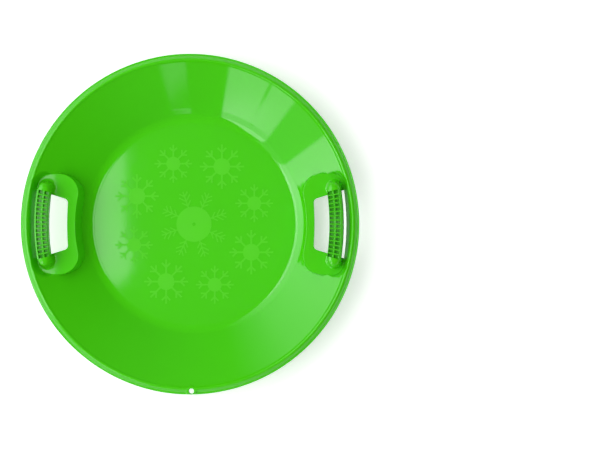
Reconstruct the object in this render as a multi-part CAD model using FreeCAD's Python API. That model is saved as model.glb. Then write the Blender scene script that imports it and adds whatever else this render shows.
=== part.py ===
import FreeCAD
import Part
import math
import os

from FreeCAD import Vector

# A round snow saucer with two ribbed hand grips. Millimetres, +Z up. The origin is the centre of the flat
# underside, the grips lie on the X axis with the right one at +X, and the tow hole is near -Y.
# The real saucer is one moulding of even wall thickness. Its regions are parted where its surface changes
# direction, and they meet face to face.

# Whole saucer
rim_radius = 300.0
crest_height = 82.0
skin = 2.2
overrun = 20.0
tolerance = 0.001

# Dish: flat floor, rounded corner, straight wall and a narrow ledge under the rim ridge
floor_to_surround = 27.5
floor_corner_radius = 32.0
ledge_from_rim = 21.0
ledge_depth = 5.6
ledge_width = 4.5
ledge_outer_round = 5.0
ledge_inner_round = 2.0

# Rim: a ridge with a sloped outer face and a small flange at its foot
crest_from_rim = 13.0
crest_width = 3.2
crest_round = 2.2
flange_width = 3.4
flange_depth = 6.4
flange_round = 1.2

# Tow hole through a small boss in the rim ridge, a little off the middle between the handles
tow_hole_radius = 4.6
tow_hole_turn = 0.9
tow_hole_from_edge = 6.4
tow_boss_radius = 12.0
tow_boss_inset = 0.5
tow_boss_trim = 1.7

# Handle surround: a level kidney-shaped shelf that stands out of the wall inside and is let into it outside
shelf_depth = 24.3
palm_shelf_width = 14.5
kidney_inner_bend = 235.0
kidney_end_margin = 13.4
kidney_lobe_radius = 34.0
kidney_outer_corner = 22.0
shelf_ledge = 0.8
inner_draft = 8.5
outer_draft = 17.5

# Hand opening: one hole through the shelf, longer at the grip than at the palm's edge
palm_gap = 27.9
opening_inner_bend = 550.0
opening_half_length = 52.6
opening_end_angle = 17.0
opening_corner = 6.0

# Grip: a raised bar on a gentle bend, between two hollow rounded ends that stand on the shelf
grip_from_rim = 39.4
grip_bend = 400.0
grip_width = 25.4
grip_half_angle = 13.0
grip_underside_depth = 10.2
grip_top_rise = 17.0
grip_arch_drop = 3.4
grip_under_round = 7.0
grip_top_round = 5.0
grip_slot = 3.7
end_length = 17.0
end_top_flat = 1.7

# Grip lattice: radial ribs and a spine between the bar's side rails
outer_rail = 4.6
inner_rail = 2.0
trough_depth = 4.5
spine_thickness = 3.2
rib_count = 15
rib_thickness = 3.0
lattice_drop = 1.0

# Snowflakes: low relief on the floor, a large one in the middle and a ring around it
relief = 0.35
flake_arms = 8
flake_turn = 19.0
ring_count = 8
middle_line = 2.2
large_line = 3.2
small_line = 2.8
branch_angle = 45.0

# The decoration follows the floor: the ring's radius, and each flake's hub and reach, as shares of its radius
ring_radius_share = 0.642
middle_flake_shares = (0.177, 0.343)
large_flake_shares = (0.084, 0.222)
small_flake_shares = (0.07, 0.19)

# Branch pairs on an arm: where a pair starts and how long it is, both as shares of the arm outside its hub
middle_branch_shares = [(0.10, 0.38), (0.38, 0.48), (0.68, 0.36)]
ring_branch_shares = [(0.44, 0.44)]

# Moulding gate: a small stub in the middle of the floor, in a clear ring
gate_radius = 2.2
gate_height = 0.8
gate_clearance = 0.8

# Derived places, from the rim inwards
ledge_radius = rim_radius - ledge_from_rim
crest_inner_radius = rim_radius - crest_from_rim
grip_middle = rim_radius - grip_from_rim
opening_inner_edge = grip_middle - grip_width / 2 - palm_gap
kidney_inner_edge = opening_inner_edge - palm_shelf_width
kidney_half_length = grip_middle * math.sin(math.radians(grip_half_angle)) + end_length + kidney_end_margin
floor_radius = kidney_inner_edge - floor_to_surround
ring_radius = floor_radius * ring_radius_share
floor_top = skin
shelf_z = crest_height - shelf_depth
shelf_under_z = shelf_z - skin
ledge_z = crest_height - ledge_depth
flange_z = crest_height - flange_depth
grip_bottom_z = crest_height - grip_underside_depth
grip_top_z = crest_height + grip_top_rise
grip_centre_x = grip_middle - grip_bend
end_top_round = grip_width / 2 - end_top_flat
kidney_outer_bend = grip_bend + grip_width / 2 + grip_slot
rim_split_radius = ledge_radius - ledge_outer_round
tow_x = (rim_radius - tow_hole_from_edge) * math.sin(math.radians(tow_hole_turn))
tow_y = -(rim_radius - tow_hole_from_edge) * math.cos(math.radians(tow_hole_turn))
tall = grip_top_z + 2 * overrun
below = Vector(0, 0, -overrun)


def profile_point(across, height):
    return Vector(across, 0, height)


def wall_points():
    """The upper skin from the centre outwards: its corners and the radius of each."""
    across = ledge_radius - floor_radius
    up = ledge_z - floor_top - floor_corner_radius
    slope = math.atan2(up, across) + math.asin(floor_corner_radius / math.hypot(across, up))
    corner_x = floor_radius + floor_corner_radius * math.tan(slope / 2)
    points = [
        profile_point(0, floor_top),
        profile_point(corner_x, floor_top),
        profile_point(ledge_radius, ledge_z),
        profile_point(ledge_radius + ledge_width, ledge_z),
        profile_point(crest_inner_radius, crest_height),
        profile_point(crest_inner_radius + crest_width, crest_height),
        profile_point(rim_radius - flange_width, flange_z),
        profile_point(rim_radius - skin / 2, flange_z),
    ]
    radii = [0, floor_corner_radius, ledge_outer_round, ledge_inner_round, crest_round, crest_round,
             flange_round, 0]
    return points, radii


def skin_edges(depth):
    """The upper skin moved down across itself by depth, as lines and tangent arcs."""
    points, radii = wall_points()
    steps = [(after - before).normalize() for before, after in zip(points, points[1:])]
    normals = [Vector(step.z, 0, -step.x) for step in steps]
    edges = []
    pen = points[0] + normals[0] * depth
    for index in range(1, len(points) - 1):
        before = normals[index - 1]
        after = normals[index]
        corner = points[index] + (before + after) * (depth / (1 + before.dot(after)))
        bends_up = steps[index - 1].cross(steps[index]).y < 0
        radius = radii[index] + (depth if bends_up else -depth)
        if radius > 0:
            reach = radius * math.tan(steps[index - 1].getAngle(steps[index]) / 2)
            first = corner - steps[index - 1] * reach
            last = corner + steps[index] * reach
            centre = first - before * radius if bends_up else first + before * radius
            middle = centre + (corner - centre).normalize() * radius
            edges.append(Part.LineSegment(pen, first).toShape())
            edges.append(Part.Arc(first, middle, last).toShape())
            pen = last
        else:
            edges.append(Part.LineSegment(pen, corner).toShape())
            pen = corner
    edges.append(Part.LineSegment(pen, points[-1] + normals[-1] * depth).toShape())
    return edges


def start_of(edges):
    return edges[0].valueAt(edges[0].FirstParameter)


def end_of(edges):
    return edges[-1].valueAt(edges[-1].LastParameter)


def revolved(edges):
    face = Part.Face(Part.Wire(Part.__sortEdges__(edges)))
    return face.revolve(Vector(0, 0, 0), Vector(0, 0, 1), 360)


def full_skin():
    """The whole moulding before the handles: the band between the upper skin and the lower one."""
    upper = skin_edges(0)
    lower = skin_edges(skin)
    nose_middle = profile_point(rim_radius, flange_z - skin / 2)
    nose = Part.Arc(end_of(upper), nose_middle, end_of(lower)).toShape()
    axis = Part.LineSegment(start_of(lower), start_of(upper)).toShape()
    return revolved(upper + [nose, axis] + lower)


def space_below(depth):
    """Everything under the upper skin moved down by depth."""
    edges = skin_edges(depth)
    outer = end_of(edges)
    inner = start_of(edges)
    low_outer = profile_point(outer.x, -overrun)
    low_inner = profile_point(0, -overrun)
    edges.append(Part.LineSegment(outer, low_outer).toShape())
    edges.append(Part.LineSegment(low_outer, low_inner).toShape())
    edges.append(Part.LineSegment(low_inner, inner).toShape())
    return revolved(edges)


def column(radius, x=0, y=0):
    """A tall upright cylinder that overruns the saucer at both ends."""
    return Part.makeCylinder(radius, tall + overrun, Vector(x, y, -overrun))


def arc_edge(centre, radius, start, end, height):
    points = []
    for turn in (start, (start + end) / 2, end):
        points.append(Vector(centre.x + radius * math.cos(turn), centre.y + radius * math.sin(turn), height))
    return Part.Arc(*points).toShape()


def kidney_wire(grow, height):
    """The shelf's outline grown outwards: two long bends, two straight ends and four round corners."""
    inner_centre = Vector(kidney_inner_edge - kidney_inner_bend, 0, 0)
    outer_centre = Vector(grip_centre_x, 0, 0)
    lobe_y = kidney_half_length - kidney_lobe_radius
    corner_y = kidney_half_length - kidney_outer_corner
    lobe_far = math.sqrt((kidney_inner_bend + kidney_lobe_radius) ** 2 - lobe_y ** 2)
    corner_far = math.sqrt((kidney_outer_bend - kidney_outer_corner) ** 2 - corner_y ** 2)
    inner_turn = math.atan2(lobe_y, lobe_far)
    outer_turn = math.atan2(corner_y, corner_far)
    lobe_x = inner_centre.x + lobe_far
    corner_x = outer_centre.x + corner_far
    lobe = kidney_lobe_radius + grow
    corner = kidney_outer_corner + grow
    end_y = kidney_half_length + grow
    quarter = math.pi / 2
    edges = [
        arc_edge(outer_centre, kidney_outer_bend + grow, -outer_turn, outer_turn, height),
        arc_edge(Vector(corner_x, corner_y, 0), corner, outer_turn, quarter, height),
        Part.LineSegment(Vector(corner_x, end_y, height), Vector(lobe_x, end_y, height)).toShape(),
        arc_edge(Vector(lobe_x, lobe_y, 0), lobe, quarter, math.pi + inner_turn, height),
        arc_edge(inner_centre, kidney_inner_bend - grow, inner_turn, -inner_turn, height),
        arc_edge(Vector(lobe_x, -lobe_y, 0), lobe, math.pi - inner_turn, 3 * quarter, height),
        Part.LineSegment(Vector(lobe_x, -end_y, height), Vector(corner_x, -end_y, height)).toShape(),
        arc_edge(Vector(corner_x, -corner_y, 0), corner, -quarter, -outer_turn, height),
    ]
    return Part.Wire(edges)


def kidney_block(low, high, draft, grow):
    """A drafted block on the kidney, grown by grow at the shelf's height and wider away from it."""
    spread = math.tan(math.radians(draft))
    low_wire = kidney_wire(grow + abs(low - shelf_z) * spread, low)
    high_wire = kidney_wire(grow + abs(high - shelf_z) * spread, high)
    return Part.makeLoft([low_wire, high_wire], True, True)


def raised_block(high, grow):
    """The drafted block up to a height that stands out of the wall, kept inside the ledge."""
    return kidney_block(-overrun, high, inner_draft, grow).common(column(ledge_radius))


def sector(half_angle):
    """The tall wedge on +X between two rays from the saucer's axis."""
    far = 2 * rim_radius
    x = far * math.cos(math.radians(half_angle))
    y = far * math.sin(math.radians(half_angle))
    corners = [below, Vector(x, -y, -overrun), Vector(x, y, -overrun), below]
    return Part.Face(Part.makePolygon(corners)).extrude(Vector(0, 0, tall + overrun))


def opening_block():
    """The hand opening: from the edge by the palm out to the foot of the surround's outer wall."""
    wedge = sector(opening_end_angle)
    run_in = opening_half_length / math.tan(math.radians(opening_end_angle))
    wedge.translate(Vector(grip_middle - grip_width / 2 - run_in, 0, 0))
    block = wedge.common(column(kidney_outer_bend - shelf_ledge, grip_centre_x))
    block = block.cut(column(opening_inner_bend, opening_inner_edge - opening_inner_bend))
    upright = []
    for edge in block.Edges:
        start = edge.Vertexes[0].Point
        end = edge.Vertexes[-1].Point
        if abs(start.z - end.z) > overrun and edge.CenterOfMass.x < grip_middle:
            upright.append(edge)
    return block.makeFillet(opening_corner, upright)


def bar_band(inner, outer, low, high):
    """A band along the grip's bend inside the ribbed sector: its edges across the bend and its heights."""
    band = column(grip_bend + outer, grip_centre_x).cut(column(grip_bend + inner, grip_centre_x))
    slab = Part.makeBox(rim_radius, 2 * rim_radius, high - low, Vector(0, -rim_radius, low))
    return band.common(sector(grip_half_angle)).common(slab)


def ray_crossing(radius):
    """Where the ribbed sector's +Y ray meets a circle about the centre of the grip's bend, as a turn."""
    ray = math.radians(grip_half_angle)
    return ray - math.asin(-grip_centre_x * math.sin(ray) / radius)


def arch_space(inset):
    """The space under the grip's arched top, lowered by inset."""
    half_length = grip_bend * math.sin(ray_crossing(grip_bend))
    radius = (half_length ** 2 + grip_arch_drop ** 2) / (2 * grip_arch_drop)
    centre = Vector(0, 0, grip_top_z - inset - radius)
    return Part.makeCylinder(radius, 2 * rim_radius, centre, Vector(1, 0, 0))


def end_block(inset):
    """A grip end on the +Y side as a closed block, its faces moved inwards by inset, and open below then."""
    half = grip_width / 2 - inset
    low = shelf_under_z - (overrun if inset > 0 else 0)
    high = grip_top_z - grip_arch_drop - inset
    centre = Vector(grip_centre_x, 0, 0)
    inner_start = ray_crossing(grip_bend - half)
    outer_start = ray_crossing(grip_bend + half)
    tip_turn = ray_crossing(grip_bend) + (end_length - grip_width / 2) / grip_bend
    tip = Vector(grip_centre_x + grip_bend * math.cos(tip_turn), grip_bend * math.sin(tip_turn), 0)
    outer_arc = arc_edge(centre, grip_bend + half, outer_start, tip_turn, low)
    tip_arc = arc_edge(tip, half, tip_turn, tip_turn + math.pi, low)
    inner_arc = arc_edge(centre, grip_bend - half, tip_turn, inner_start, low)
    closing = Part.LineSegment(end_of([inner_arc]), start_of([outer_arc])).toShape()
    block = Part.Face(Part.Wire([outer_arc, tip_arc, inner_arc, closing])).extrude(Vector(0, 0, high - low))
    top_edges = []
    for edge in block.Edges:
        level = all(abs(vertex.Point.z - high) < tolerance for vertex in edge.Vertexes)
        if level and edge.Curve.TypeId == "Part::GeomCircle":
            top_edges.append(edge)
    block = block.makeFillet(end_top_round - inset, top_edges)
    if inset > 0:
        wall = Part.makeBox(2 * rim_radius, inset, tall, Vector(0, 0, low))
        wall.rotate(Vector(0, 0, 0), Vector(0, 0, 1), grip_half_angle)
        block = block.cut(wall)
    return block


def other_side(shape):
    return shape.mirror(Vector(0, 0, 0), Vector(0, 1, 0))


def turned(shape, angle):
    copy = shape.copy()
    copy.rotate(Vector(0, 0, 0), Vector(0, 0, 1), angle)
    return copy


def surround_zone():
    """The space that a handle surround takes out of the plain dish and rim."""
    outward = skin / math.cos(math.radians(outer_draft))
    sunk = kidney_block(shelf_under_z, tall, outer_draft, outward)
    return raised_block(shelf_z, 0).fuse(sunk)


def handle_surround():
    """Shelf, inner flank, outer wall and the two hollow grip ends of the right handle."""
    inward = skin / math.cos(math.radians(inner_draft))
    outward = skin / math.cos(math.radians(outer_draft))
    raised = raised_block(shelf_z, 0)
    raised_inside = raised_block(shelf_under_z, -inward)
    sunk = kidney_block(shelf_z, tall, outer_draft, 0)
    sunk_outside = kidney_block(shelf_under_z, tall, outer_draft, outward)
    near = Part.makeBox(rim_radius, rim_radius, tall, Vector(rim_radius / 2, -rim_radius / 2, -overrun))
    upper = space_below(0).common(near).fuse(raised).cut(sunk)
    lower = space_below(skin).common(near).fuse(raised_inside).cut(sunk_outside)
    shell = upper.cut(lower).common(surround_zone())
    shell = shell.cut(opening_block())
    for side in (end_block(0), other_side(end_block(0))):
        shell = shell.fuse(side)
    for side in (end_block(skin), other_side(end_block(skin))):
        shell = shell.cut(side)
    return shell.removeSplitter()


def grip_bar():
    """The bar between the ends: a trough with rounded edges."""
    block = bar_band(-grip_width / 2, grip_width / 2, grip_bottom_z, tall).common(arch_space(0))
    block = block.makeFillet(grip_top_round, long_edges(block, False))
    block = block.makeFillet(grip_under_round, long_edges(block, True))
    return block.cut(trough_space())


def long_edges(block, lower):
    """The edges along the bar: the two on its underside, or the others."""
    found = []
    for edge in block.Edges:
        box = edge.BoundBox
        at_underside = box.ZMax < grip_bottom_z + skin
        if box.YLength > grip_width and at_underside == lower:
            found.append(edge)
    return found


def trough_space():
    inner = inner_rail - grip_width / 2
    outer = grip_width / 2 - outer_rail
    return bar_band(inner, outer, grip_bottom_z, tall).cut(arch_space(trough_depth))


def grip_ribs():
    """The lattice in the trough: one spine along the bend and radial ribs through it."""
    middle = (inner_rail - outer_rail) / 2
    lattice = bar_band(middle - spine_thickness / 2, middle + spine_thickness / 2, grip_bottom_z, tall)
    pitch = 2 * grip_half_angle / (rib_count + 1)
    for index in range(rib_count):
        rib = Part.makeBox(2 * rim_radius, rib_thickness, tall, Vector(0, -rib_thickness / 2, 0))
        lattice = lattice.fuse(turned(rib, (index + 1) * pitch - grip_half_angle))
    lattice = lattice.common(trough_space()).common(arch_space(lattice_drop))
    return lattice.removeSplitter()


def tow_zone():
    """The space that the tow hole's boss takes out of the rim: it stops just inside the flange's edge."""
    round_zone = column(tow_boss_radius, tow_x, tow_y)
    return round_zone.common(column(rim_radius - tow_boss_trim))


def tow_boss():
    low = flange_z - skin
    high = crest_height - tow_boss_inset
    slab = Part.makeBox(2 * rim_radius, 2 * rim_radius, high - low, Vector(-rim_radius, -rim_radius, low))
    hole = column(tow_hole_radius, tow_x, tow_y)
    return tow_zone().common(slab).cut(hole)


def bar_plate(start, length, width, angle):
    """A thin straight line of relief from a point, as long and wide as given, turned to an angle."""
    plate = Part.makeBox(length, width, relief, Vector(0, -width / 2, floor_top))
    plate.rotate(Vector(0, 0, 0), Vector(0, 0, 1), angle)
    plate.translate(start)
    return plate


def snowflake(flake_shares, line, branch_shares, hole):
    """One flake on the saucer's axis, its first arm along +X."""
    hub = floor_radius * flake_shares[0]
    reach = floor_radius * flake_shares[1]
    arm_length = reach - hub
    flake = Part.makeCylinder(hub, relief, Vector(0, 0, floor_top))
    pieces = []
    for index in range(flake_arms):
        angle = index * 360 / flake_arms
        along = Vector(math.cos(math.radians(angle)), math.sin(math.radians(angle)), 0)
        pieces.append(bar_plate(Vector(0, 0, 0), reach, line, angle))
        for start_share, length_share in branch_shares:
            root = along * (hub + arm_length * start_share)
            for side in (-branch_angle, branch_angle):
                pieces.append(bar_plate(root, arm_length * length_share, line, angle + side))
    flake = flake.multiFuse(pieces)
    if hole > 0:
        flake = flake.cut(column(hole))
    return flake.removeSplitter()


def ring_flake(flake, index):
    angle = flake_turn + index * 360 / ring_count
    placed = flake.copy()
    placed.translate(Vector(ring_radius * math.cos(math.radians(angle)),
                            ring_radius * math.sin(math.radians(angle)), 0))
    return placed


def build():
    moulding = full_skin()
    zone = surround_zone()
    zones = zone.fuse(turned(zone, 180))
    parts = {}
    parts["dish_floor"] = moulding.common(column(floor_radius))
    outside_floor = moulding.cut(column(floor_radius))
    parts["dish_wall"] = outside_floor.common(column(rim_split_radius)).cut(zones)
    parts["rim"] = moulding.cut(column(rim_split_radius)).cut(zones).cut(tow_zone())
    parts["tow_hole_boss"] = tow_boss()
    surround = handle_surround()
    bar = grip_bar()
    ribs = grip_ribs()
    for side, angle in (("right", 0), ("left", 180)):
        parts[side + "_handle_surround"] = turned(surround, angle)
        parts[side + "_grip_bar"] = turned(bar, angle)
        parts[side + "_grip_ribs"] = turned(ribs, angle)
    middle = snowflake(middle_flake_shares, middle_line, middle_branch_shares, gate_radius + gate_clearance)
    parts["middle_snowflake"] = turned(middle, flake_turn)
    small = snowflake(small_flake_shares, small_line, ring_branch_shares, 0)
    large = snowflake(large_flake_shares, large_line, ring_branch_shares, 0)
    for index in range(ring_count):
        number = str(index // 2 + 1)
        if index % 2 == 0:
            parts["small_snowflake_" + number] = ring_flake(small, index)
        else:
            parts["large_snowflake_" + number] = ring_flake(large, index)
    parts["moulding_gate"] = Part.makeCylinder(gate_radius, gate_height, Vector(0, 0, floor_top))
    return parts


os.makedirs("parts", exist_ok=True)
for name, shape in build().items():
    solids = shape.Solids
    shape = solids[0] if len(solids) == 1 else Part.Compound(solids)
    shape.exportStep("parts/" + name + ".step")
    box = shape.BoundBox
    print(name, "solids", len(solids), "valid", shape.isValid(), "volume", round(shape.Volume),
          "x", round(box.XMin, 1), round(box.XMax, 1), "y", round(box.YMin, 1), round(box.YMax, 1),
          "z", round(box.ZMin, 1), round(box.ZMax, 1))
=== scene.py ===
import math

import bpy
import numpy as np
from mathutils import Matrix, Vector


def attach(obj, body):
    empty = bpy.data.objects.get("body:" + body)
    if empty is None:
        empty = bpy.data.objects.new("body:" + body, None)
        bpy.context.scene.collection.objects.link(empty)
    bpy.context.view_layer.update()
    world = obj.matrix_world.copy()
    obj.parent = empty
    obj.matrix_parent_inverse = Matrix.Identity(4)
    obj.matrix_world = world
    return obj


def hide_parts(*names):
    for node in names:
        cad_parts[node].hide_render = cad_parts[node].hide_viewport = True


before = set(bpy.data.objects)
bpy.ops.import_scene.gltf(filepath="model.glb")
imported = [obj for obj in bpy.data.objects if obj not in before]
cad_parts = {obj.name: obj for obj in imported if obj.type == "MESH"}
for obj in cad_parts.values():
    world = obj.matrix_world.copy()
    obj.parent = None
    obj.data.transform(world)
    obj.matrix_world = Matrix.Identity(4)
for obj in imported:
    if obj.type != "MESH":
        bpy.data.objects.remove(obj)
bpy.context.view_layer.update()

# Lengths are millimetres in this file until a mesh is made. The saucer lies with its grips on the X axis
# and its tow hole at -Y. Each piece of skin is made on a flat net of polygons with two heights, one for its
# upper face and one for its lower face, and neighbouring pieces share the corners of one net, so they meet
# exactly. A depth is 0 on the upper face and SKIN on the lower face.
MM = 0.001
SKIN = 2.2

# Dish and rim. The wall's slope follows from the corner that it would have, and its foot is a little flatter.
RIM_RADIUS = 300.0
RIM_SPLIT_RADIUS = 274.0
CREST_HEIGHT = 83.0
CREST_INNER_RADIUS = 288.1
CREST_WIDTH = 2.8
CREST_INNER_ROUND = 2.4
CREST_OUTER_ROUND = 2.8
FLANGE_WIDTH = 3.0
FLANGE_Z = 75.6
FLANGE_ROUND = 1.2
NOSE_ROUND = SKIN / 2
NOSE_Z = FLANGE_Z - NOSE_ROUND
NOSE_START = RIM_RADIUS - NOSE_ROUND
WALL_TOP_RADIUS = 285.0
WALL_TOP_Z = 79.65
WALL_TOP_ROUND = 3.0
WALL_FOOT_RADIUS = 206.0
WALL_FOOT_SLOPE = math.radians(38.2)
WALL_FOOT_ROUND = 400.0
FLOOR_RADIUS = 178.0
FLOOR_CORNER_RADIUS = 32.0

# Handle surround: a level shelf with a kidney-shaped outline, let into the wall
SHELF_Z = 57.7
INNER_DRAFT = math.radians(6.5)
OUTER_DRAFT = math.radians(17.5)
INNER_FLANK_SLOPE = 1 / math.tan(INNER_DRAFT)
OUTER_WALL_SLOPE = 1 / math.tan(OUTER_DRAFT)
KIDNEY_INNER_EDGE = 205.5
KIDNEY_INNER_BEND = 235.0
KIDNEY_HALF_LENGTH = 89.0
KIDNEY_LOBE = 34.0
KIDNEY_CORNER = 22.0
SHELF_EDGE_ROUND = 0.8
SHELF_FOOT_ROUND = 2.4
FOOT_BLEND = 3.0
TOP_BLEND = 5.0
BLEND_FADE = 3.0
PROFILE_REACH = 80.0
HANDLE_START = 150.0
HANDLE_END = 299.0
HANDLE_HALF_WIDTH = 125.0
ZONE_SHELF_SLOPE = 5.0

# Hand opening
OPENING_INNER_EDGE = 220.0
OPENING_INNER_BEND = 550.0
OPENING_HALF_LENGTH = 52.6
OPENING_END_ANGLE = math.radians(17)
OPENING_CORNER = 6.0
OPENING_EDGE_ROUND = SKIN / 2
SHELF_LEDGE = 0.8

# Grip
GRIP_MIDDLE = 260.6
GRIP_BEND = 400.0
GRIP_HALF = 12.7
GRIP_SLOT = 3.7
GRIP_RAY = math.radians(13)
GRIP_TOP_Z = 99.0
GRIP_SIDE_Z = 84.0
GRIP_UNDER_Z = 71.8
GRIP_ARCH_DROP = 3.4
GRIP_TOP_ROUND = 5.0
GRIP_UNDER_ROUND = 7.0
SIDE_TUCK = 0.15
SIDE_LEAN = 0.8
OUTER_RAIL = 4.6
INNER_RAIL = 2.0
RAIL_LIP = 0.7
INNER_DROP_SHARE = 0.8
TROUGH_DEPTH = 8.0
TROUGH_INNER = INNER_RAIL - GRIP_HALF
TROUGH_OUTER = GRIP_HALF - OUTER_RAIL
GRIP_CENTRE_X = GRIP_MIDDLE - GRIP_BEND
KIDNEY_OUTER_BEND = GRIP_BEND + GRIP_HALF + GRIP_SLOT

# Ribs and spine in the trough
RIB_COUNT = 15
RIB_PITCH = 2 * GRIP_RAY / (RIB_COUNT + 1)
RIB_HALF = 1.5
RIB_CROWN = 1.3
SPINE_MIDDLE = (TROUGH_INNER + TROUGH_OUTER) / 2
SPINE_HALF = 1.6
SPINE_CROWN = 0.9
SPINE_DROP = 0.9
LATTICE_DROP = 1.0
LATTICE_SIDE_SLOPE = 6.0
LATTICE_LEAST = 0.3

# Grip ends. A side runs from an inset at its top to a spread at its foot, counted from the end's outline. It
# is steep beside the ribs, soft at the tip, and soft in another way towards the palm.
END_LENGTH = 17.0
END_RISE = 37.8
END_SOFTENS = 8.0
END_FACE_STEP = math.radians(0.15)
END_SIDE = {"inset": SIDE_LEAN, "spread": 0.4, "top_round": 10.5, "foot_round": 3.0}
END_TIP = {"inset": 3.0, "spread": 2.0, "top_round": 11.5, "foot_round": 4.0}
END_PALM = {"inset": 3.0, "spread": 1.5, "top_round": 11.5, "foot_round": 3.0}
END_REACH = 25.0
END_OUTSIDE_SLOPE = 3.0
END_BLEND = 2.5
END_UNDER_BLEND = 0.5
BELOW_ALL = -100.0

# Tow hole and its boss in the rim
TOW_RADIUS = 293.6
TOW_TURN = math.radians(-89.1)
TOW_X = TOW_RADIUS * math.cos(TOW_TURN)
TOW_Y = TOW_RADIUS * math.sin(TOW_TURN)
TOW_HOLE = 4.6
TOW_HOLE_ROUND = 0.8
TOW_BOSS = 12.0
TOW_BOSS_TOP = 82.4
TOW_BOSS_FLAT = 8.0
TOW_BOSS_SLOPE = 2.2
TOW_BOSS_BLEND = 2.0
TOW_OUTER_RADIUS = 296.8
TOW_OUTER_SLOPE = 4.0
TOW_OUTER_BLEND = 1.5
TOW_UNDER_FLAT = TOW_BOSS - 1.5
TOW_UNDER_SLOPE = 3.5
TOW_REACH = TOW_BOSS + 4
TOW_TRIM = 298.3

# Fineness of the net. A cut is a line along which the net is split, at a distance from an outline.
ARC_STEP = math.radians(7)
UNDER_ARC_STEP = math.radians(14)
NOSE_TURNS = (18, 36, 54, 70, 82)
HANDLE_RADII = np.arange(188.0, 273.0)
LINE_GAP = 0.3
NOSE_LINE_GAP = 0.08
HANDLE_LINE_GAP = 0.25
LAST_LINE_GAP = 0.005
HANDLE_SECTOR = math.radians(29.4)
HANDLE_RAYS = 196
TOW_SECTOR = math.radians(4.4)
TOW_RAYS = 36
BACK_RAYS = 120
FRONT_RAYS = 56
FLOOR_RINGS = (20.0, 60.0, 110.0, 150.0)
KIDNEY_CUTS = (-2.6, -1.5, -0.9, -0.4, -0.1, 0.12, 0.9)
ZONE_CUTS = (-3.0, 0.0, 4.0)
OPENING_CUTS = (0.0, 0.12, 0.4, OPENING_EDGE_ROUND)
END_CUTS = (-8.0, -5.6, -4.0, -2.4, -1.4, -0.9, 0.3, 1.2, 3.0, 6.0)
END_CUTS_START = -6.0
END_CUTS_NONE = 50.0
TOW_CUTS = (TOW_HOLE, TOW_HOLE + 0.25, TOW_HOLE + TOW_HOLE_ROUND, TOW_BOSS_FLAT, 9.0, 10.6, TOW_BOSS, 13.0)
CUT_STEPS = 12
CUT_MARGIN = 0.02
SAME_PLACE = 0.001
JOINED_GAP = 0.002
NORMAL_STEP = 0.002
NORMAL_PULL = 0.02
FAR_AWAY = 1e6
ROUNDING = 1e-6

# Fineness of the grip's trough and ribs
TROUGH_SECTIONS = 97
TROUGH_ROUND_STEPS = 7
TROUGH_TOP_TURN = math.radians(86)
TROUGH_SHARP_ANGLE = math.radians(50)
RIB_LINE_INSETS = (0.0, 0.12, 0.4, 0.85, RIB_HALF)
SPINE_LINE_INSETS = (0.0, 0.15, 0.5, 0.9)
TROUGH_LINE_INSETS = (0.0, 1.5, 3.4)


class Profile:
    """Height against distance: straight runs with round corners, moved down across itself by a depth."""

    def __init__(self, corners, radii, depth):
        points = [np.array(corner, float) for corner in corners]
        steps = [(b - a) / np.linalg.norm(b - a) for a, b in zip(points, points[1:])]
        normals = [np.array((step[1], -step[0])) for step in steps]
        self.runs = []
        pen = points[0] + normals[0] * depth
        for index in range(1, len(points) - 1):
            before, after = normals[index - 1], normals[index]
            step, following = steps[index - 1], steps[index]
            corner = points[index] + (before + after) * (depth / (1 + before @ after))
            bends_up = step[0] * following[1] - step[1] * following[0] > 0
            radius = radii[index] + (depth if bends_up else -depth)
            if radius > 0:
                turn = math.acos(min(1.0, step @ following))
                first = corner - step * radius * math.tan(turn / 2)
                last = corner + following * radius * math.tan(turn / 2)
                centre = first - before * radius if bends_up else first + before * radius
                self.runs.append(("line", pen, first, None, 0, 0))
                self.runs.append(("arc", first, last, centre, radius, -1 if bends_up else 1))
                pen = last
            else:
                self.runs.append(("line", pen, corner, None, 0, 0))
                pen = corner
        self.runs.append(("line", pen, points[-1] + normals[-1] * depth, None, 0, 0))

    def height(self, distance):
        result = np.full(distance.shape, self.runs[0][1][1])
        for kind, first, last, centre, radius, side in self.runs:
            inside = distance >= first[0]
            x = np.minimum(distance[inside], max(last[0], first[0]))
            if kind == "line":
                slope = (last[1] - first[1]) / max(last[0] - first[0], 1e-9)
                result[inside] = first[1] + slope * (x - first[0])
            else:
                root = np.sqrt(np.maximum(radius ** 2 - (x - centre[0]) ** 2, 0))
                result[inside] = centre[1] + side * root
        return result

    def stations(self, turn_step):
        """Distances where a net needs a line: the ends of the runs and steps along the arcs."""
        found = []
        for kind, first, last, centre, radius, side in self.runs:
            found += [first[0], last[0]]
            if kind == "arc":
                start = math.asin(max(-1, min(1, (first[0] - centre[0]) / radius)))
                end = math.asin(max(-1, min(1, (last[0] - centre[0]) / radius)))
                count = max(1, round(abs(end - start) / turn_step))
                for index in range(1, count):
                    found.append(centre[0] + radius * math.sin(start + (end - start) * index / count))
        return found


def both_faces(corners, radii):
    """The profiles of the upper and the lower face, by their depth."""
    return {depth: Profile(corners, radii, depth) for depth in (0.0, SKIN)}


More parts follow.
